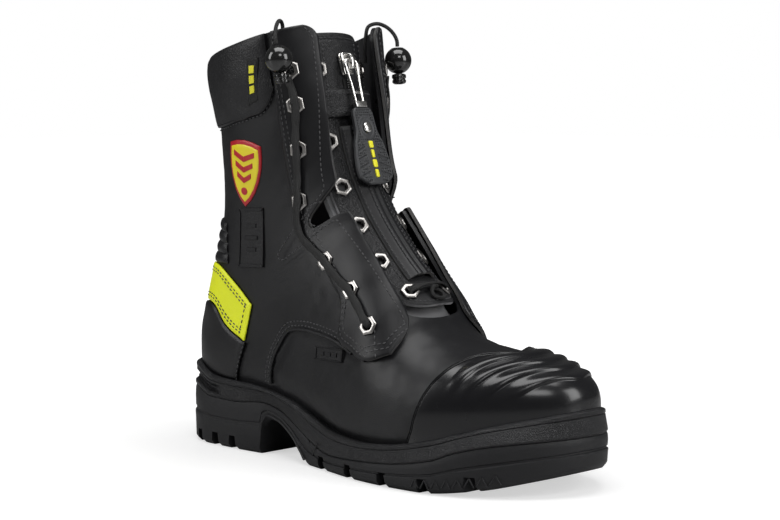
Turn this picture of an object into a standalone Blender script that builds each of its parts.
"""A lace-in zip firefighter boot, right foot, standing empty on its sole.

Millimetres inside, metres in the meshes. +X points to the toe, +Y to the inner side of the foot,
+Z up. The origin is on the floor, in the middle of the sole's length and width.
"""

import math

import bmesh
import bpy
import numpy as np
from mathutils import Matrix, Vector

# Driving sizes
SOLE_LENGTH = 311.0
SOLE_WIDTH = 112.0
BOOT_HEIGHT = 264.0
ANKLE_HEIGHT = 100.0  # what is above this height stretches with BOOT_HEIGHT
WALL = 2.4  # leather and lining together
GAP = 0.3  # between curved pieces that touch
FACING_THICK = 2.5
CAP_THICK = 2.4
COUNTER_THICK = 1.8
BAND_THICK = 1.2
COLLAR_PUFF = 6.0  # the fullest place of the collar, at the back
COLLAR_THIN = 1.2
THROAT_HALF = 25.0  # from the middle to the edge of a facing
NOTCH_DEPTH = 8.0  # where the facing is cut away to bend at the ankle
SOLE_LIP = 3.6  # how far the midsole stands out round the upper
INSOLE_THICK = 4.0
LUG_DEPTH = 7.0
LUG_GAP = 7.0
EYELET_ACROSS = 10.5  # over the flats of the hexagon
EYELET_HOLE = 5.2
EYELET_THICK = 1.2
EYELET_BASE = FACING_THICK + 3 * GAP  # from the form to the underside of an eyelet
EYELET_EDGE = 0.8  # its sloping rim
LACE_WIDTH = 4.8
LACE_THICK = 1.3
LACE_OFF = EYELET_BASE + EYELET_THICK + GAP
LOCK_BALL = 17.0
LOCK_NECK = 9.0
LOCK_NECK_LENGTH = 6.0
LOCK_OFF = FACING_THICK + GAP + EYELET_THICK + LOCK_BALL / 2 + 0.8
LOOP_WIRE = 1.2
KNOT_ROUND = 4.6
KNOT_WIRE = 1.1
INSERT_HALF = 24.0
INSERT_THICK = 2.2
INSERT_SINK = 0.25  # extra room under a flat eyelet on the curved insert
TAB_HALF = 21.5
TONGUE_HALF = 31.0
TONGUE_THICK = 4.0
CHAIN_WIDTH = 6.0
CHAIN_THICK = 2.2
FLAP_THICK = 1.6
FLAP_HALF = 11.0
STRAP_THICK = 1.6
STRAP_HALF = 20.0
SLIDER_BODY = 3.6
SLIDER_WALL = 1.2  # the bridge that the pull turns in
BRIDGE_HALF = 1.3
PIVOT_RISE = 1.9  # from the slider's body to the pivot
PULL_CLEAR = 0.8
SLIDER_CLEAR = 0.25  # from the flat slider to the curved insert, past the usual gap
PULL_LENGTH = 30.0
PULL_WIRE = 2.2
PULLER_LENGTH = 49.0
PULLER_TOP = 17.0
PULLER_LOW = 29.0
PULLER_THICK = 3.2
STUD_LOW, STUD_TOP, STUD_THICK = 3.4, 2.6, 1.2
LOOP_WIDTH = 20.0
WEBBING = 1.5

# The last that the curves below are drawn on
LAST_LENGTH = 311.0
LAST_WIDTH = 112.0
LAST_HEIGHT = 264.0

# Place along the form from the toe to the collar, then x from the heel and z from the floor
INSTEP_LINE = [
    (0, 303, 68), (1, 250, 75.5), (2, 226, 80.5), (3, 209, 89.5), (4, 197.5, 106.5), (5, 187, 119.5),
    (6, 177, 134), (8, 162, 160.5), (10, 148, 188), (12, 139, 211), (14, 131, 235), (16, 126.5, 253),
    (18, 123, 270),
]
HEEL_LINE = [
    (0, 303, 30), (1, 248, 19), (2, 220, 15), (3, 192, 14), (4, 163, 17.5), (5, 133, 25), (6, 102, 31.5),
    (7, 68, 34.5), (8, 36, 35.5), (9, 16, 43), (10, 11.5, 62), (11, 15.5, 86), (12, 22.5, 109),
    (13, 29, 131), (14, 31, 155), (16, 30, 205), (18, 27, 250),
]
# Place along the form, half width, shift to the inner side, height of the widest place as a share,
# and how square the front and the underside are
GIRTH = [
    (0, 30, 10, 0.42, 2.6, 3.0), (1, 48, 3.8, 0.38, 2.5, 3.4), (2, 51, -0.5, 0.34, 2.35, 3.4),
    (3, 50, -3, 0.31, 2.5, 3.4), (4, 47, -3.5, 0.30, 2.8, 3.4), (5, 43.5, -2.5, 0.29, 3.0, 3.5),
    (7, 39, -0.3, 0.28, 3.0, 3.8), (9, 37, 0, 0.28, 3.0, 2.8), (10, 37, 0, 0.32, 3.0, 2.35),
    (12, 38.5, 0, 0.43, 3.0, 2.2), (14, 43, 0, 0.5, 3.0, 2.1), (16, 46, 0, 0.5, 3.0, 2.1),
    (18, 47.5, 0, 0.5, 3.0, 2.1),
]
TOP_END = 18.0
TIP_LIFT = 1.6  # the tip of the toe is this much above the midsole's rim
COLLAR_TOP = 17.6

# x from the heel, then z from the floor
RIM_LINE = [
    (0, 54), (20, 52.5), (42, 45.5), (83, 43.5), (117, 38.5), (137, 31), (156, 24.5), (184, 22.8),
    (210, 24.5), (237, 29.5), (274, 40.5), (306, 48.5),
]
FLOOR_LINE = [
    (0, 44), (42, 42), (83, 40.5), (117, 35.5), (137, 28.5), (156, 22.5), (184, 20.8), (237, 24),
    (262, 29.5), (306, 36.5),
]
SEAM_LINE = [
    (0, 36.5), (20, 36), (38, 31), (60, 30.5), (88, 32.5), (104, 30), (122, 22), (140, 14.5),
    (158, 10.6), (185, 11.8), (213, 13.8), (244, 19), (258, 24.5), (280, 29.8), (311, 33.5),
]
TREAD_LINE = [
    (0, 3), (8, 0), (84, 0), (86.5, 17), (92, 22.5), (101.5, 21), (117, 13.5), (127, 5), (133, 0),
    (235, 0), (270, 4), (295, 10), (311, 14.5),
]
# x from the heel, half width without the round ends, middle of the sole
OUTLINE = [
    (0, 37, 0), (36, 37, -0.5), (64, 37.8, -0.8), (92, 36.5, -1.5), (120, 37.8, -3.8), (150, 42.5, -6),
    (180, 49.5, -6), (207, 54.2, -3.8), (233, 55.5, -1.5), (255, 55, 1), (276, 55, 3.5), (311, 55, 10),
]
HEEL_ROUND = 36.0
TOE_ROUND = 78.0
SIDE_NOTCHES = [25.0, 42.0, 59.0, 150.0, 179.0, 209.0, 239.0, 267.0]
NOTCH_REACH = 17.0
NOTCH_TURN = 0.12
# x from the heel, y of the middle, width
CROSS_GROOVES = [
    (33.0, -2, 34), (50.5, -2, 34), (164.5, -4, 62), (194.0, -4, 62), (224.0, -4, 62), (253.0, -4, 62),
]

# Side-view corners on the outer side, x from the heel and z from the floor
COUNTER_FOOT = 62.0
BAND_LOW = [(0, 91), (43, 91), (53, 80), (72, 70)]
BAND_HIGH = [(0, 116), (49, 115), (62, 106), (78, 93)]
# Way down the throat's middle from the top, then x from the heel and z from the floor
INSERT_LINE = [
    (0, 115.5, 262.5), (40, 123.5, 223.5), (75, 132, 189), (110, 146.5, 159), (147, 169, 130),
    (183, 194.8, 106.2), (196, 204.4, 99.3), (212, 217, 90),
]
INSERT_SAG = 8.5  # how far its long edges lie behind its middle
INSERT_TOP = 6.0
INSERT_END = 195.0
TAB_ROUND = 18.0
SLIDER_AT = 20.0  # way down the throat to the pivot of the zip's pull
CHAIN_TOP, CHAIN_END = 31.0, 170.0
FLAP_TOP = 60.0
STRAP_TOP, STRAP_LOW = 38.0, 54.0
THROAT_START = 3.25  # along the form, at the middle
NOTCH_AT = 8.85
FACING_LOW = 3.05
LACE_TOP = 14.9
LOCK_AT = (15.9, 40.0)  # place along the form and distance from the middle
# Place along the form and how far the pull loop stands off the collar, then from the shaft's top
PULL_LOOP_RISE = [(16.35, 0.5), (16.55, 3.5), (16.8, 6.2), (17.1, 7.2)]
PULL_LOOP_OVER = [(-10.5, 0, 3.4), (-3.5, 0, 5.2), (2.5, 0, 3.6), (5.8, 0, -3), (6, 0, -14)]

# Place along the form and distance from the middle, on each facing
FACING_EYELETS = [(4.15, 40), (5.58, 36), (7.2, 34), (9.9, 32.5), (11.84, 33.5), (13.54, 36), (15.2, 38)]
# Way down the throat and distance from the middle, on the zip's insert
INSERT_EYELETS = [(24, 18), (68, 18), (98, 18), (125, 18), (152, 18), (179, 14.4)]
# Place along the form, then the angle of the facing's outer seam in degrees
FACING_SEAM = [
    (3.05, 50), (3.6, 67), (4.4, 73), (5.0, 74), (5.5, 64), (6.4, 60), (8.2, 58), (9.5, 58),
    (10.85, 62), (12.6, 67), (14.5, 67), (16.1, 65), (18, 62),
]
# Angle in degrees, then place along the form of the collar's lower seam
COLLAR_SEAM = [(69, 15.0), (74, 14.6), (80, 14.46), (92, 14.87), (110, 15.24), (145, 15.75), (180, 16)]
# Share of the collar's height, then share of its puff
COLLAR_SWELL = [(0, 0.06), (0.12, 0.28), (0.32, 0.62), (0.55, 0.92), (0.78, 1), (0.93, 0.85), (1, 0.45)]


def through(keys, at, eased=False):
    """A smooth curve through keys of (place, value, ...), read at each place in `at`."""
    keys = np.array(keys, float)
    at = np.asarray(at, float)
    place, value = keys[:, 0], keys[:, 1:]
    slope = np.gradient(value, place, axis=0)
    if eased:
        step = np.diff(value, axis=0) / np.diff(place)[:, None]
        before, after = step[:-1], step[1:]
        same = before * after > 0
        slope[1:-1] = np.where(same, 2 * before * after / np.where(same, before + after, 1), 0)
    i = np.clip(np.searchsorted(place, at, side="right") - 1, 0, len(place) - 2)
    h = (place[i + 1] - place[i])[..., None]
    t = ((at - place[i]) / h[..., 0])[..., None]
    a, b, c, d = value[i], value[i + 1], slope[i] * h, slope[i + 1] * h
    return a + t * c + t**2 * (3 * (b - a) - 2 * c - d) + t**3 * (2 * (a - b) + c + d)


def height_at(line, x):
    return through(line, x, eased=True)[..., 0]


def placed(x, y, z):
    """Last coordinates, stretched to the driving sizes and centred along the sole."""
    x, y, z = np.broadcast_arrays(np.asarray(x, float), y, z)
    tall = (BOOT_HEIGHT - ANKLE_HEIGHT) / (LAST_HEIGHT - ANKLE_HEIGHT)
    z = np.where(z > ANKLE_HEIGHT, ANKLE_HEIGHT + (z - ANKLE_HEIGHT) * tall, z)
    x = x * SOLE_LENGTH / LAST_LENGTH - SOLE_LENGTH / 2
    return np.stack([x, y * SOLE_WIDTH / LAST_WIDTH, z], -1)


def section(u):
    """Top, bottom, half width, shift, widest height and roundness of the form at u."""
    u = np.asarray(u, float)
    in_toe = u < 1
    turn = np.minimum(u, 1) * math.pi / 2
    v = np.where(in_toe, 1 - np.cos(turn), u)
    top, low, girth = through(INSTEP_LINE, v), through(HEEL_LINE, v), through(GIRTH, v)
    out = np.where(in_toe, np.cos(turn), 0)
    narrow = np.maximum(1 - out**2.5, 0) ** (1 / 2.5)
    flat = np.maximum(1 - out**3.2, 0) ** (1 / 3.2)
    level = height_at(RIM_LINE, top[..., 0]) + TIP_LIFT * (1 - v) * in_toe
    tz = np.where(in_toe, level + (top[..., 1] - level) * flat, top[..., 1])
    bz = np.where(in_toe, level - (level - low[..., 1]) * flat, low[..., 1])
    half = girth[..., 0] * np.where(in_toe, narrow, 1)
    return top[..., 0], tz, low[..., 0], bz, half, *np.moveaxis(girth[..., 1:], -1, 0)


def form_point(u, angle):
    """The last's skin: angle 0 is the front or top, pi the back or underside, + the outer side."""
    tx, tz, bx, bz, half, shift, widest, top_round, low_round = section(u)
    c, s = np.cos(angle), np.sin(angle)
    front = c >= 0
    power = 2 / np.where(front, top_round, low_round)
    rise = np.abs(c) ** power
    share = np.where(front, widest + (1 - widest) * rise, widest - widest * rise)
    side = half * np.abs(s) ** power * np.sign(s)
    return placed(bx + (tx - bx) * share, shift - side, bz + (tz - bz) * share)


def form(u, angle, off=0.0):
    """A point `off` outside the form."""
    u, angle, off = np.broadcast_arrays(np.asarray(u, float), np.asarray(angle, float), off)
    point = form_point(u, angle)
    step = 0.004
    inside = np.clip(u, 0.03, TOP_END)
    along = form_point(inside + step, angle) - form_point(inside - step, angle)
    around = form_point(inside, angle + step) - form_point(inside, angle - step)
    normal = np.cross(along, around)
    normal /= np.maximum(np.linalg.norm(normal, axis=-1, keepdims=True), 1e-9)
    normal[u < 0.02] = (1, 0, 0)
    return point + normal * off[..., None]


def angle_at_side(u, away):
    """The angle at which the front of the section at u is `away` from its middle."""
    _, _, _, _, half, _, _, top_round, _ = section(u)
    return np.arcsin(np.clip(np.asarray(away) / np.maximum(half, 1e-6), 0, 1) ** (top_round / 2))


def angle_at_rim(u, above=GAP):
    """The angle at which the form meets the midsole's rim, or pi where it is higher all round."""
    low = np.zeros_like(np.asarray(u, float))
    high = np.full_like(low, math.pi)
    for _ in range(40):
        middle = (low + high) / 2
        tx, tz, bx, bz, _, _, widest, top_round, low_round = section(u)
        c = np.cos(middle)
        rise = np.abs(c) ** (2 / np.where(c >= 0, top_round, low_round))
        share = np.where(c >= 0, widest + (1 - widest) * rise, widest - widest * rise)
        over = bz + (tz - bz) * share > height_at(RIM_LINE, bx + (tx - bx) * share) + above
        low, high = np.where(over, middle, low), np.where(over, high, middle)
    return np.where(math.pi - high < 1e-3, math.pi, high)


def on_side(x, z):
    """u and angle of the place on the outer side that is seen at (x, z) from the side."""
    dense = np.linspace(0.02, TOP_END, 1500)
    tx, tz, bx, bz, _, _, widest, top_round, low_round = section(dense)
    x, z = np.broadcast_arrays(np.asarray(x, float), np.asarray(z, float))
    dx, dz = x[..., None] - bx, z[..., None] - bz
    length = np.hypot(tx - bx, tz - bz)
    off_line = np.abs(dx * (tz - bz) - dz * (tx - bx)) / length
    share = (dx * (tx - bx) + dz * (tz - bz)) / length**2
    off_line = off_line + 400 * np.maximum(np.abs(share - 0.5) - 0.5, 0)
    k = np.argmin(off_line, axis=-1)
    share = np.clip(np.take_along_axis(share, k[..., None], -1)[..., 0], 0, 1)
    wide, front, low = widest[k], top_round[k], low_round[k]
    up = share >= wide
    rise = np.clip(np.where(up, (share - wide) / (1 - wide), (wide - share) / wide), 0, 1)
    c = rise ** (np.where(up, front, low) / 2) * np.where(up, 1, -1)
    return dense[k], np.arccos(np.clip(c, -1, 1))


# Meshes

def finish(colour, roughness, metallic=0.0):
    def of(name):
        material = bpy.data.materials.new(name)
        material.use_nodes = True
        shader = material.node_tree.nodes["Principled BSDF"]
        shader.inputs["Base Color"].default_value = (*colour, 1)
        shader.inputs["Roughness"].default_value = roughness
        shader.inputs["Metallic"].default_value = metallic
        return material
    return of


LEATHER = finish((0.012, 0.012, 0.013), 0.42)
RUBBER = finish((0.018, 0.018, 0.019), 0.6)
LINING = finish((0.03, 0.03, 0.032), 0.9)
HI_VIS = finish((0.75, 0.85, 0.02), 0.5)
WEBBING_BLACK = finish((0.015, 0.015, 0.015), 0.85)
NICKEL = finish((0.62, 0.6, 0.56), 0.28, 1.0)
PLASTIC = finish((0.01, 0.01, 0.01), 0.2)


def new_object(name, bm, material, smooth=True):
    mesh = bpy.data.meshes.new(name)
    bm.to_mesh(mesh)
    bm.free()
    obj = bpy.data.objects.new(name, mesh)
    parts.objects.link(obj)
    mesh.materials.append(material(name))
    if smooth:
        mesh.shade_smooth()
        mesh.set_sharp_from_angle(angle=math.radians(40))
    return obj


def add_grid(bm, points, flip=False):
    """Quads over a grid of points in millimetres."""
    rows = [[bm.verts.new(p / 1000) for p in row] for row in points]
    for a, b in zip(rows, rows[1:]):
        for j in range(len(a) - 1):
            corners = [a[j], b[j], b[j + 1], a[j + 1]]
            bm.faces.new(corners[::-1] if flip else corners)


def merge(bm, distance=1e-5):
    bmesh.ops.remove_doubles(bm, verts=bm.verts[:], dist=distance)
    bmesh.ops.dissolve_degenerate(bm, edges=bm.edges[:], dist=1e-6)


def shell(name, grids, thick, material, outward=False):
    """An open surface with a wall; a grid's second value turns its faces over."""
    bm = bmesh.new()
    for points, flip in grids:
        add_grid(bm, points, flip)
    merge(bm)
    obj = new_object(name, bm, material)
    wall = obj.modifiers.new("Wall", "SOLIDIFY")
    wall.thickness = thick / 1000
    wall.offset = 1 if outward else -1
    wall.use_even_offset = True
    wall.use_quality_normals = True
    return obj


def block(name, inner, outer, material):
    """A closed solid between two grids of the same shape, with walls round their edges."""
    bm = bmesh.new()
    add_grid(bm, outer)
    add_grid(bm, inner, flip=True)
    for k in (0, -1):
        add_grid(bm, np.stack([inner[k], outer[k]]), flip=k == 0)
        add_grid(bm, np.stack([inner[:, k], outer[:, k]]), flip=k != 0)
    merge(bm)
    bmesh.ops.recalc_face_normals(bm, faces=bm.faces[:])
    return new_object(name, bm, material)


def both_sides(u, angle, off=0.0):
    """The same grid on the outer side and, mirrored and turned over, on the inner side."""
    return [(form(u, angle, off), False), (form(u, -angle, off), True)]


# The sole

def offset(outline, distance):
    """A closed outline moved outwards in plan."""
    ahead, behind = np.roll(outline, -1, 0), np.roll(outline, 1, 0)
    along = ahead - behind
    normal = np.stack([along[:, 1], -along[:, 0]], -1)
    return outline + distance * normal / np.linalg.norm(normal, axis=1, keepdims=True)


def stations(count):
    """Shares of the length, closer together at both ends and at the heel's breast."""
    even = (1 - np.cos(np.linspace(0, math.pi, count))) / 2
    breast = np.array([82.0, 84.2, 86.4, 88.5]) / LAST_LENGTH
    far = even[np.min(np.abs(even[:, None] - breast), axis=1) > 0.012]
    return np.sort(np.concatenate([far, breast]))


SHARES = stations(21)


def sole_outline():
    """Outer side from heel to toe, then the inner side back, in last coordinates."""
    x = SHARES * LAST_LENGTH
    half, middle = np.moveaxis(through(OUTLINE, x), -1, 0)
    heel = np.clip((HEEL_ROUND - x) / HEEL_ROUND, 0, 1)
    toe = np.clip((x - LAST_LENGTH + TOE_ROUND) / TOE_ROUND, 0, 1)
    half = half * np.sqrt(1 - heel**2) * np.sqrt(1 - toe**2)
    outer = np.stack([x, middle - half], -1)
    inner = np.stack([x, middle + half], -1)
    return np.concatenate([outer, inner[-2:0:-1]])


def feather_outline():
    """The same for the line where the upper meets the midsole."""
    u = np.linspace(0, 9.9, 400)
    angle = angle_at_rim(u)
    tx, tz, bx, bz, half, shift, widest, top_round, low_round = section(u)
    c, s = np.cos(angle), np.sin(angle)
    power = 2 / np.where(c >= 0, top_round, low_round)
    rise = np.abs(c) ** power
    share = np.where(c >= 0, widest + (1 - widest) * rise, widest - widest * rise)
    x = bx + (tx - bx) * share
    side = half * np.abs(s) ** power
    ends = int(np.argmin(x))
    x, side, shift = x[: ends + 1][::-1], side[: ends + 1][::-1], shift[: ends + 1][::-1]
    at = x[0] + (x[-1] - x[0]) * SHARES
    outer = np.stack([at, np.interp(at, x, shift - side)], -1)
    inner = np.stack([at, np.interp(at, x, shift + side)], -1)
    return np.concatenate([outer, inner[-2:0:-1]])


def across(ring, height, columns=3):
    """A cap over a ring: rows along the sole, columns from the outer to the inner side."""
    count = len(SHARES)
    outer = ring[:count]
    inner = np.concatenate([ring[:1], ring[:count - 1:-1], ring[count - 1:count]])
    t = np.linspace(0, 1, columns + 1)[None, :, None]
    flat = outer[:, None] * (1 - t) + inner[:, None] * t
    return placed(flat[..., 0], flat[..., 1], height(flat[..., 0]))


def layer(name, rings, material):
    """A closed sole layer through rings of (outline, height at x), from the bottom up."""
    bm = bmesh.new()
    walls = []
    for outline, height in rings:
        loop = np.concatenate([outline, outline[:1]])
        walls.append(placed(loop[:, 0], loop[:, 1], height(loop[:, 0])))
    add_grid(bm, np.stack(walls), flip=True)
    add_grid(bm, across(*rings[0]), flip=False)
    add_grid(bm, across(*rings[-1]), flip=True)
    merge(bm)
    bmesh.ops.recalc_face_normals(bm, faces=bm.faces[:])
    return new_object(name, bm, material)


def line(keys, lift=0.0):
    return lambda x: height_at(keys, x) + lift


def between(low, high, share):
    return lambda x: height_at(low, x) * (1 - share) + height_at(high, x) * share


def add_cone(bm, low, top, depth, segments, matrix=Matrix()):
    bmesh.ops.create_cone(bm, cap_ends=True, segments=segments, radius1=low / 1000, radius2=top / 1000,
                          depth=depth / 1000, matrix=matrix)


def cutter(name, bm):
    obj = new_object(name, bm, RUBBER, smooth=False)
    parts.objects.unlink(obj)
    cutters.objects.link(obj)
    obj.hide_render = True
    obj.display_type = "WIRE"
    return obj


def cut(obj, tool):
    boolean = obj.modifiers.new("Cut " + tool.name, "BOOLEAN")
    boolean.operation = "DIFFERENCE"
    boolean.solver = "EXACT"
    boolean.object = tool


def add_box(bm, centre, size, turn=0.0):
    place = Matrix.Translation(Vector(centre) / 1000) @ Matrix.Rotation(turn, 4, "Z")
    shape = Matrix.Diagonal((*[length / 1000 for length in size], 1))
    bmesh.ops.create_cube(bm, size=1.0, matrix=place @ shape)


def outsole():
    outline = sole_outline()
    rings = [
        (offset(outline, -3.2), line(TREAD_LINE)),
        (offset(outline, -0.9), line(TREAD_LINE, 2.5)),
        (outline, between(TREAD_LINE, SEAM_LINE, 0.55)),
        (offset(outline, -0.7), line(SEAM_LINE, -GAP / 2)),
    ]
    obj = layer("outsole", rings, RUBBER)
    bm = bmesh.new()
    for x in SIDE_NOTCHES:
        half, middle = through(OUTLINE, x)
        toe = np.clip((x - LAST_LENGTH + TOE_ROUND) / TOE_ROUND, 0, 1)
        heel = np.clip((HEEL_ROUND - x) / HEEL_ROUND, 0, 1)
        half = half * math.sqrt(1 - toe**2) * math.sqrt(1 - heel**2)
        for side in (-1, 1):
            centre = placed(x, middle + side * half, height_at(TREAD_LINE, x))
            add_box(bm, centre, (LUG_GAP, 2 * NOTCH_REACH, 2 * LUG_DEPTH), side * NOTCH_TURN)
    cut(obj, cutter("lug_notches", bm))
    bm = bmesh.new()
    for x, middle, width in CROSS_GROOVES:
        centre = placed(x, middle, height_at(TREAD_LINE, x))
        add_box(bm, centre, (LUG_GAP * 0.6, width, LUG_DEPTH * 1.2))
    cut(obj, cutter("cross_grooves", bm))


def midsole():
    outline, feather = sole_outline(), feather_outline()
    rings = [
        (offset(outline, -1.3), line(SEAM_LINE, GAP / 2)),
        (offset(outline, -0.4), line(SEAM_LINE, 2.2)),
        (offset(outline * 0.6 + offset(feather, SOLE_LIP) * 0.4, 0), between(SEAM_LINE, RIM_LINE, 0.62)),
        (offset(feather, SOLE_LIP + 0.6), line(RIM_LINE, -2.2)),
        (offset(feather, SOLE_LIP - 0.8), line(RIM_LINE, -0.8)),
        (offset(feather, -WALL - 1.2), line(RIM_LINE, -0.8)),
        (offset(feather, -WALL - 2.6), line(FLOOR_LINE)),
    ]
    layer("midsole", rings, RUBBER)


def insole():
    edge = offset(feather_outline(), -WALL - 3.6)
    rings = [(edge, line(FLOOR_LINE, GAP)), (edge, line(FLOOR_LINE, GAP + INSOLE_THICK))]
    layer("insole", rings, LINING)


# The upper

def throat_gap(u, half=THROAT_HALF, start=THROAT_START, run=0.55):
    """How far the throat's edge is from the middle at u: round below, a notch, round at the top."""
    u = np.asarray(u, float)
    ease = np.sqrt(1 - np.clip(1 - (u - start) / run, 0, 1) ** 2)
    notch = NOTCH_DEPTH * np.exp(-(((u - NOTCH_AT) / 0.5) ** 4))
    corner = 11 * (1 - np.sqrt(1 - np.clip((u - COLLAR_TOP + 1.1) / 1.15, 0, 1) ** 2))
    return np.where(u < start, 0, half * ease + notch + corner)


def upper_rows():
    toe = np.array([0, 0.12, 0.3, 0.5, 0.75])
    vamp = np.array([1, 1.6, 2.3, 3, THROAT_START])
    throat = THROAT_START + np.array([0.03, 0.12, 0.3, 0.55])
    shaft = np.array([
        4.35, 4.9, 5.6, 6.4, 7.2, 7.8, 8.2, 8.45, 8.85, 9.25, 9.5, 10.2, 11.1, 12.4, 13.8, 15.4,
    ])
    top = np.array([16.6, 17.1, COLLAR_TOP])
    return np.concatenate([toe, vamp, throat, shaft, top])


def upper():
    u = upper_rows()[:, None]
    front, low = angle_at_side(u, throat_gap(u)), angle_at_rim(u)
    t = np.linspace(0, 1, 9)[None]
    shell("upper", both_sides(u, front + (low - front) * t), WALL, LEATHER)


def toe_cap():
    t = np.linspace(0, 1, 12)[None]
    share = np.array([0, 0.07, 0.15, 0.26, 0.4, 0.58, 0.78, 1])[:, None]
    reach = 0.88 + 0.85 * (t * 104 / 90) ** 1.25
    u = share * reach
    angle = t * angle_at_rim(u, above=5 * GAP)
    shell("toe_cap", both_sides(u, angle, 3.5 * GAP), CAP_THICK, LEATHER, outward=True)


def wrap(low, high, rows, columns, off):
    """A grid round the heel between two side-view curves, read from the back to the front."""
    across_back = 1 - np.cos(np.linspace(0, math.pi / 2, columns))
    lift = np.linspace(0, 1, rows)[:, None]
    low, high = low(across_back)[None], high(across_back)[None]
    at = low * (1 - lift[..., None]) + high * lift[..., None]
    u, angle = on_side(at[..., 0], at[..., 1])
    angle[:, 0] = math.pi
    return [(form(u, angle, off), True), (form(u, -angle, off), False)]


def heel_back_x(z):
    u = np.linspace(8.5, TOP_END, 400)
    _, _, bx, bz = section(u)[:4]
    return np.interp(z, bz, bx)


def heel_curve(corners):
    """Keys of a curve round the heel: from the back of the form through side-view corners."""
    back = (heel_back_x(corners[0][1]), corners[0][1])
    return [(share, *corner) for share, corner in zip((0, 0.4, 0.63, 1), [back] + corners[1:])]


def heel_counter():
    x_back = heel_back_x(height_at(RIM_LINE, 12.0) + 1)

    def low(t):
        x = x_back + (COUNTER_FOOT - x_back) * t
        return np.stack([x, height_at(RIM_LINE, x) + 3 * GAP], -1)

    def high(t):
        return through(heel_curve([(x, z - 1) for x, z in BAND_LOW]), t)

    shell("heel_counter", wrap(low, high, 6, 11, 2 * GAP), COUNTER_THICK, LEATHER, outward=True)


def hi_vis_band():
    def low(t):
        return through(heel_curve(BAND_LOW), t)

    def high(t):
        return through(heel_curve(BAND_HIGH), t)

    shell("hi_vis_band", wrap(low, high, 4, 10, GAP + 0.1), BAND_THICK, HI_VIS, outward=True)


def facing_gap(u):
    """The facing's inner edge: just inside the throat's, with a round lower corner."""
    u = np.asarray(u, float)
    corner = 1 - np.sqrt(1 - np.clip((FACING_LOW + 0.57 - u) / 0.57, 0, 1) ** 2)
    return throat_gap(u, start=0.0) - 1 + 13 * corner


def facings():
    rows = upper_rows()
    u = np.concatenate([[FACING_LOW, FACING_LOW + 0.08], rows[rows >= THROAT_START]])[:, None]
    inner = angle_at_side(u, facing_gap(u))
    seam = np.radians(through(FACING_SEAM, u)[..., 0])
    angle = inner + (seam - inner) * np.linspace(0, 1, 6)[None] ** 0.9
    made = {}
    for side, grid in zip(("lateral", "medial"), both_sides(u, angle, 2 * GAP)):
        made[side] = shell("facing_" + side, [grid], FACING_THICK, LEATHER, outward=True)
    return made


def collar_puff(u, degrees):
    """How far the collar stands out of the form: fullest near its top, at the back."""
    seam = through(COLLAR_SEAM, degrees)[..., 0]
    swell = np.interp((u - seam) / (COLLAR_TOP - seam), *np.transpose(COLLAR_SWELL))
    first = COLLAR_SEAM[0][0]
    full = 0.45 + 0.55 * np.clip((degrees - first - 11) / 80, 0, 1)
    ends = np.clip((degrees - first) / 14, 0, 1) ** 0.5
    return GAP + COLLAR_THIN + (COLLAR_PUFF - COLLAR_THIN) * swell * full * ends


def collar():
    """A padded ring round the sides and back of the shaft's top."""
    degrees = np.concatenate([np.linspace(COLLAR_SEAM[0][0], 170, 11), [180]])
    seam = through(COLLAR_SEAM, degrees)[..., 0][None]
    share = np.array(COLLAR_SWELL)[:, :1]
    u = seam + (COLLAR_TOP - seam) * share
    angle = np.radians(degrees)[None] + 0 * u
    puff = collar_puff(u, degrees[None])
    inner = np.concatenate([form(u, angle, GAP), form(u, -angle, GAP)[:, -2::-1]], 1)
    outer = np.concatenate([form(u, angle, puff), form(u, -angle, puff)[:, -2::-1]], 1)
    block("collar", inner, outer, LEATHER)


# The throat: tongue, zip and insert

def throat(way, y, off):
    """A point of the throat's sheet: way down it, y from its middle, off in front of it."""
    way, y, off = np.broadcast_arrays(np.asarray(way, float), np.asarray(y, float), off)
    at = through(INSERT_LINE, way)
    along = through(INSERT_LINE, way + 0.5) - through(INSERT_LINE, way - 0.5)
    along /= np.linalg.norm(along, axis=-1, keepdims=True)
    deep = (off - INSERT_SAG * (y / INSERT_HALF) ** 2)[..., None]
    at = at + deep * np.stack([-along[..., 1], along[..., 0]], -1)
    return placed(at[..., 0], y, at[..., 1])


def insert_half(way):
    way = np.asarray(way, float)
    narrow = np.clip((way - 155) / 20, 0, 1)
    half = INSERT_HALF + (TAB_HALF - INSERT_HALF) * narrow**2 * (3 - 2 * narrow)
    past = np.clip((way - INSERT_END + TAB_ROUND) / TAB_ROUND, 0, 1)
    return half - TAB_ROUND * (1 - np.sqrt(1 - past**2))


def sheet(name, way, half, low, high, material, columns=9):
    """A closed sheet on the throat between two distances in front of it."""
    way = np.asarray(way, float)[:, None]
    y = np.linspace(-1, 1, columns)[None] * half(way)
    return block(name, throat(way, y, low(way, y)), throat(way, y, high(way, y)), material)


def tongue_depth(way):
    return through([(0, 1.5), (150, 1.5), (185, 6.5), (200, 9), (212, 9.5)], way, eased=True)[..., 0]


def tongue():
    way = np.concatenate([np.linspace(1, 150, 10), [162, 174, 186, 198, 212]])
    sheet("tongue", way, lambda w: TONGUE_HALF - 6 * np.clip((w - 30) / 45, 0, 1),
          lambda w, y: -tongue_depth(w) - TONGUE_THICK, lambda w, y: -tongue_depth(w), LINING, columns=7)


def zip_insert():
    end = INSERT_END - TAB_ROUND + TAB_ROUND * np.sin(np.linspace(0.25, 1, 5) * math.pi / 2)
    way = np.concatenate([np.linspace(INSERT_TOP, 160, 11), [168, INSERT_END - TAB_ROUND], end])
    sheet("zip_insert", way, insert_half, lambda w, y: 0 * y, lambda w, y: INSERT_THICK + 0 * y, LEATHER)


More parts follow.
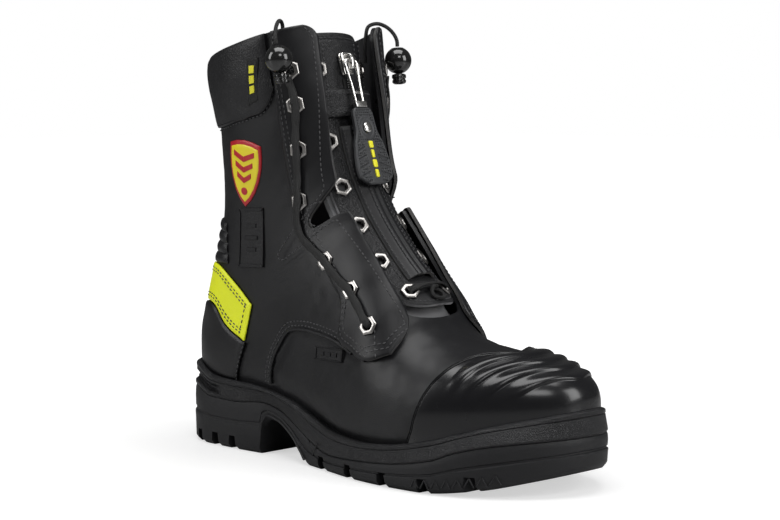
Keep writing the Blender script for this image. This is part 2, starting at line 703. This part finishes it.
def zip_chain():
    base = INSERT_THICK + GAP
    way = np.linspace(CHAIN_TOP, CHAIN_END, 12)
    sheet("zip_chain", way, lambda w: CHAIN_WIDTH / 2 + 0 * w, lambda w, y: base + 0 * y,
          lambda w, y: base + CHAIN_THICK + 0 * y, PLASTIC, columns=3)


def flap_height(y):
    """The underside of the flap: flat over the chain, down to the insert at its edges."""
    rise = np.clip((FLAP_HALF - np.abs(y)) / (FLAP_HALF - CHAIN_WIDTH / 2 - 1.2), 0, 1)
    return INSERT_THICK + GAP + (CHAIN_THICK + GAP) * rise


def zip_flap():
    sheet("zip_flap", np.linspace(FLAP_TOP, CHAIN_END + 1, 8), lambda w: FLAP_HALF + 0 * w,
          lambda w, y: flap_height(y), lambda w, y: flap_height(y) + FLAP_THICK, LEATHER)


def zip_strap():
    base = INSERT_THICK + CHAIN_THICK + 2 * GAP
    way = np.linspace(STRAP_TOP, STRAP_LOW, 3)
    sheet("zip_strap", way, lambda w: STRAP_HALF + 0 * w, lambda w, y: base + 0 * y,
          lambda w, y: base + STRAP_THICK + 0 * y, LEATHER, columns=7)


def frame_at(origin, along, out):
    """A matrix with +Y along, +Z out and its origin in millimetres."""
    along, out = Vector(along).normalized(), Vector(out).normalized()
    side = along.cross(out).normalized()
    along = out.cross(side)
    matrix = Matrix((side, along, out)).transposed().to_4x4()
    matrix.translation = Vector(origin) / 1000
    return matrix


def throat_frame(way, off):
    here, ahead, above = throat(way, 0, off), throat(way + 1, 0, off), throat(way, 0, off + 1)
    return frame_at(here, ahead - here, above - here)


def extruded(name, outline, low, high, material, bevel=0.0):
    """A flat outline in the piece's own XY plane, between two heights."""
    bm = bmesh.new()
    ring = [bm.verts.new((x / 1000, y / 1000, low / 1000)) for x, y in outline]
    bottom = bm.faces.new(ring)
    top = bmesh.ops.extrude_face_region(bm, geom=[bottom])["geom"]
    for v in [g for g in top if isinstance(g, bmesh.types.BMVert)]:
        v.co.z = high / 1000
    bmesh.ops.recalc_face_normals(bm, faces=bm.faces[:])
    obj = new_object(name, bm, material)
    if bevel:
        edge = obj.modifiers.new("Edge", "BEVEL")
        edge.width = bevel / 1000
        edge.segments = 1
        edge.limit_method = "ANGLE"
    return obj


def zip_slider():
    """A body on the chain, with an arch along it that holds the pull's bar."""
    body = [(-5, -3.5), (-3.4, -5.2), (3.4, -5.2), (5, -3.5), (3.6, 8.5), (-3.6, 8.5)]
    obj = extruded("zip_slider", body, SLIDER_CLEAR, SLIDER_BODY, NICKEL)
    obj.matrix_world = throat_frame(SLIDER_AT, INSERT_THICK + GAP)
    bm = bmesh.new()
    clear = PULL_WIRE / 2 + PULL_CLEAR
    foot, top = SLIDER_BODY - 1, SLIDER_BODY + PIVOT_RISE + clear
    upper_end, lower_end = -clear - 2.5 * SLIDER_WALL, 5.4 + SLIDER_WALL
    arch = [
        (upper_end, foot), (upper_end, top), (upper_end + SLIDER_WALL, top + SLIDER_WALL),
        (lower_end - SLIDER_WALL, top + SLIDER_WALL), (lower_end, top), (lower_end, foot),
        (lower_end - SLIDER_WALL, foot), (lower_end - SLIDER_WALL, top), (-clear - SLIDER_WALL, top),
        (-clear - SLIDER_WALL, foot),
    ]
    for x in (-BRIDGE_HALF, BRIDGE_HALF):
        for y, z in arch:
            bm.verts.new((x / 1000, y / 1000, z / 1000))
    bm.verts.ensure_lookup_table()
    n = len(arch)
    for k in range(n):
        a, b = k, (k + 1) % n
        bm.faces.new([bm.verts[a], bm.verts[b], bm.verts[n + b], bm.verts[n + a]])
    bm.faces.new(bm.verts[:n][::-1])
    bm.faces.new(bm.verts[n:])
    bmesh.ops.recalc_face_normals(bm, faces=bm.faces[:])
    bridge = cutter("slider_bridge", bm)
    bridge.matrix_world = obj.matrix_world
    union = obj.modifiers.new("Bridge", "BOOLEAN")
    union.operation = "UNION"
    union.solver = "EXACT"
    union.object = bridge


def pull_frame():
    """The pull's own frame: its origin on the pivot, +Y down along it, +Z out."""
    pivot = throat(SLIDER_AT, 0, INSERT_THICK + GAP + SLIDER_BODY + PIVOT_RISE)
    below = INSERT_THICK + CHAIN_THICK + 2 * GAP + FLAP_THICK
    lift = 2.2  # of the puller's lower end off the flap
    end = throat(SLIDER_AT + PULL_LENGTH + PULLER_LENGTH - 3, 0, below + lift + PULLER_THICK / 2)
    along = end - pivot
    return frame_at(pivot, along, (-along[2], 0, along[0]))


def tube(name, points, depth, material, cyclic=False, resolution=2):
    """A wire through points in millimetres, as a mesh."""
    curve = bpy.data.curves.new(name, "CURVE")
    curve.dimensions = "3D"
    curve.bevel_depth = depth / 1000
    curve.bevel_resolution = resolution
    curve.use_fill_caps = not cyclic
    spline = curve.splines.new("POLY")
    spline.points.add(len(points) - 1)
    for point, place in zip(spline.points, points):
        point.co = (*(np.asarray(place, float) / 1000), 1)
    spline.use_cyclic_u = cyclic
    obj = bpy.data.objects.new(name + "_path", curve)
    parts.objects.link(obj)
    mesh = bpy.data.meshes.new_from_object(obj.evaluated_get(bpy.context.evaluated_depsgraph_get()))
    bpy.data.objects.remove(obj)
    bm = bmesh.new()
    bm.from_mesh(mesh)
    bmesh.ops.remove_doubles(bm, verts=bm.verts[:], dist=1e-6)
    bmesh.ops.recalc_face_normals(bm, faces=bm.faces[:])
    return new_object(name, bm, material)


def zip_pull():
    """A long wire loop: its top bar turns in the slider's bridge, its lower end is in a crimp."""
    frame = pull_frame()
    top, low, end = 4.6, 3.2, PULL_LENGTH - 2.6
    half = [
        (2.4, 0), (top - 1.4, 0.25), (top, 1.6), (top, 6), (low, end - 4), (low - 0.7, end), (1, end + 0.6),
    ]
    loop = [(x, y, 0) for x, y in half] + [(-x, y, 0) for x, y in half[::-1]]
    obj = tube("zip_pull", loop, PULL_WIRE / 2, NICKEL, cyclic=True)
    obj.matrix_world = frame
    bm = bmesh.new()
    add_box(bm, (0, PULL_LENGTH - 1.5, 0), (9.4, 3.6, 3.4))
    crimp = cutter("pull_crimp", bm)
    crimp.matrix_world = frame
    union = obj.modifiers.new("Crimp", "BOOLEAN")
    union.operation = "UNION"
    union.solver = "EXACT"
    union.object = crimp


def puller():
    frame = pull_frame()
    top, low = PULLER_TOP / 2, PULLER_LOW / 2
    start, end = PULL_LENGTH + 0.3 + GAP, PULL_LENGTH + PULLER_LENGTH
    half = [
        (top - 4, start), (top, start + 4), (top + 0.6, start + 14), (low - 2, start + 24), (low, end - 10),
        (low - 0.6, end - 6), (low - 7, end),
    ]
    outline = half + [(-x, y) for x, y in half[::-1]]
    obj = extruded("puller", outline, -PULLER_THICK / 2, PULLER_THICK / 2, RUBBER, bevel=0.6)
    obj.matrix_world = frame
    bm = bmesh.new()
    add_cone(bm, STUD_LOW, STUD_TOP, STUD_THICK, 16)
    stud = new_object("puller_stud", bm, NICKEL)
    centre = Vector((0, start + 13, PULLER_THICK / 2 + GAP + STUD_THICK / 2))
    stud.matrix_world = frame @ Matrix.Translation(centre / 1000)


# Small metal and cord

def eyelet_mesh():
    """The section of an eyelet; turned in six steps it is a hexagon with a hexagonal hole."""
    outer, hole = EYELET_ACROSS / 2 / math.cos(math.pi / 6), EYELET_HOLE / 2 / math.cos(math.pi / 6)
    section_points = [(outer, 0), (hole, 0), (hole, EYELET_THICK), (outer - EYELET_EDGE, EYELET_THICK)]
    mesh = bpy.data.meshes.new("eyelet_section")
    points = [(x / 1000, 0, z / 1000) for x, z in section_points]
    mesh.from_pydata(points, [(k, (k + 1) % 4) for k in range(4)], [])
    mesh.materials.append(NICKEL("eyelet"))
    return mesh


def eyelet(name, mesh, matrix):
    obj = bpy.data.objects.new(name, mesh)
    parts.objects.link(obj)
    obj.matrix_world = matrix
    turn = obj.modifiers.new("Turn", "SCREW")
    turn.steps = turn.render_steps = 6
    turn.use_merge_vertices = True
    turn.merge_threshold = 1e-5
    turn.use_normal_calculate = True
    turn.use_normal_flip = True
    turn.axis = "Z"
    return obj


def facing_frame(u, away, side, off):
    angle = float(angle_at_side(u, away)) * side
    here, above = form(u, angle, off), form(u, angle, off + 1)
    ahead = form(u + 0.05, angle, off)
    return frame_at(here, ahead - here, above - here)


def insert_frame(way, y, off):
    """On the insert beside its middle, tilted as the insert is there."""
    here, ahead = throat(way, y, off), throat(way + 1, y, off)
    out = np.cross(throat(way, y + 1, off) - throat(way, y - 1, off), ahead - here)
    out *= np.sign(out[0]) / np.linalg.norm(out)
    return frame_at(here + INSERT_SINK * out, ahead - here, out)


def eyelets(facing):
    mesh = eyelet_mesh()
    hole = EYELET_HOLE / 2 + 0.1
    for side, sign in (("lateral", 1), ("medial", -1)):
        holes = bmesh.new()
        for number, (u, away) in enumerate(FACING_EYELETS, 1):
            frame = facing_frame(u, away, sign, EYELET_BASE)
            eyelet("eyelet_%s_%d" % (side, number), mesh, frame)
            add_cone(holes, hole, hole, 16, 6, frame)
        tool = cutter("holes_" + side, holes)
        cut(facing[side], tool)
        cut(bpy.data.objects["upper"], tool)
    holes = bmesh.new()
    for number, (way, away) in enumerate(INSERT_EYELETS, 1):
        for side, sign in (("lateral", -1), ("medial", 1)):
            frame = insert_frame(way, sign * away, INSERT_THICK + GAP)
            eyelet("insert_eyelet_%s_%d" % (side, number), mesh, frame)
            add_cone(holes, hole, hole, 8, 6, frame)
    cut(bpy.data.objects["zip_insert"], cutter("holes_insert", holes))


def strip(name, centre, out, width, thick, material):
    """A flat tape along a line of points, `out` pointing away from what it lies on."""
    along = np.gradient(centre, axis=0)
    side = np.cross(along, out)
    side /= np.linalg.norm(side, axis=1, keepdims=True)
    out = out / np.linalg.norm(out, axis=1, keepdims=True)
    edge = np.array([-0.5, 0.5])[None, :, None] * width * side[:, None]
    low = centre[:, None] + edge
    return block(name, low, low + thick * out[:, None], material)


def cord_locks():
    """A ball on each lace with a spring-loaded neck below it, and the lace's way through both."""
    for side, sign in (("lateral", 1), ("medial", -1)):
        frame = facing_frame(*LOCK_AT, sign, LOCK_OFF)
        bm = bmesh.new()
        bmesh.ops.create_uvsphere(bm, u_segments=12, v_segments=7, radius=LOCK_BALL / 2000)
        ball = new_object("cord_lock_" + side, bm, PLASTIC)
        ball.matrix_world = frame
        bm = bmesh.new()
        add_box(bm, (0, 0, 0), (LACE_WIDTH + 0.8, LOCK_BALL * 1.2, LACE_THICK + 1.4))
        slot = cutter("lock_slot_" + side, bm)
        slot.matrix_world = frame
        cut(ball, slot)
        bm = bmesh.new()
        below = Matrix.Translation((0, -(LOCK_BALL / 2 + LOCK_NECK_LENGTH / 2 + GAP) / 1000, 0))
        turned = below @ Matrix.Rotation(math.pi / 2, 4, "X")
        add_cone(bm, LOCK_NECK / 2, 0.92 * LOCK_NECK / 2, LOCK_NECK_LENGTH, 12, turned)
        neck = new_object("cord_lock_neck_" + side, bm, PLASTIC)
        neck.matrix_world = frame
        cut(neck, slot)


def laces():
    keys = np.array(FACING_EYELETS[:-1] + [(LACE_TOP, 38.5)])
    for side, sign in (("lateral", 1), ("medial", -1)):
        u = np.concatenate([np.linspace(keys[0, 0], 7, 8), np.linspace(7.6, LACE_TOP, 14)])
        angle = angle_at_side(u, np.interp(u, keys[:, 0], keys[:, 1])) * sign
        centre, above = form(u, angle, LACE_OFF), form(u, angle, LACE_OFF + 1)
        strip("lace_" + side, centre, above - centre, LACE_WIDTH, LACE_THICK, WEBBING_BLACK)
    way, away = INSERT_EYELETS[-1]
    y = np.linspace(-away, away, 7)
    off = INSERT_THICK + INSERT_SINK + EYELET_THICK + 3 * GAP
    centre, above = throat(way, y, off), throat(way, y, off + 1)
    strip("lace_crossing", centre, above - centre, LACE_WIDTH, LACE_THICK, WEBBING_BLACK)


def knot():
    """The lace's knot below the crossing, an open ring of cord lying on the tab."""
    way = INSERT_EYELETS[-1][0] + LACE_WIDTH / 2 + 2 * GAP + KNOT_WIRE + KNOT_ROUND
    turn = np.radians(np.linspace(-72, 252, 13))
    y, ahead = KNOT_ROUND * np.cos(turn), KNOT_ROUND * np.sin(turn)
    path = throat(way + ahead, y, INSERT_THICK + GAP + KNOT_WIRE + 0.2)
    tube("lace_knot", path, KNOT_WIRE, WEBBING_BLACK)


def lace_loops():
    """From each lock over the top of the facing and down inside it."""
    # Into the boot from the facing's top edge, and up from it
    over = [(-5.5, -0.8), (-1, 0.6), (4.6, -0.9), (6.6, -8), (6.8, -24)]
    for side, sign in (("lateral", 1), ("medial", -1)):
        frame = facing_frame(*LOCK_AT, sign, LOCK_OFF)
        ahead = np.array(frame.col[1][:3])
        start = np.array(frame.translation) * 1000 + ahead * (LOCK_BALL / 2 + GAP + 0.2)
        angle = float(angle_at_side(*LOCK_AT)) * sign
        rim = form(COLLAR_TOP, angle)
        inward = form(COLLAR_TOP, angle, -1.0) - rim
        top = rim + (0, 0, LOOP_WIRE + 3.2)
        keys = [start, start + ahead * 3] + [top + inward * into + (0, 0, up) for into, up in over]
        way = np.concatenate([[0], np.cumsum(np.linalg.norm(np.diff(keys, axis=0), axis=1))])
        path = through(np.column_stack([way, keys]), np.linspace(0, way[-1], 13))
        tube("lace_loop_" + side, path, LOOP_WIRE, WEBBING_BLACK)


def pull_loop():
    """A webbing loop at the back, from the collar's outside over its top."""
    u, stand = np.transpose(PULL_LOOP_RISE)
    outside = form(u, math.pi, collar_puff(u, np.full(u.shape, 180.0)) + GAP + stand)
    over = form(COLLAR_TOP, math.pi) + np.array(PULL_LOOP_OVER)
    centre = np.concatenate([outside, over])
    out = np.cross(np.gradient(centre, axis=0), (0, 1, 0))
    strip("pull_loop", centre, out, LOOP_WIDTH, WEBBING, WEBBING_BLACK)


for old in list(bpy.data.objects):
    bpy.data.objects.remove(old, do_unlink=True)
parts = bpy.data.collections.new("firefighter_boot")
cutters = bpy.data.collections.new("cutters")
bpy.context.scene.collection.children.link(parts)
bpy.context.scene.collection.children.link(cutters)
cutters.hide_render = True

outsole()
midsole()
insole()
upper()
toe_cap()
heel_counter()
hi_vis_band()
collar()
tongue()
zip_insert()
zip_chain()
zip_flap()
zip_strap()
zip_slider()
zip_pull()
puller()
eyelets(facings())
cord_locks()
laces()
knot()
lace_loops()
pull_loop()
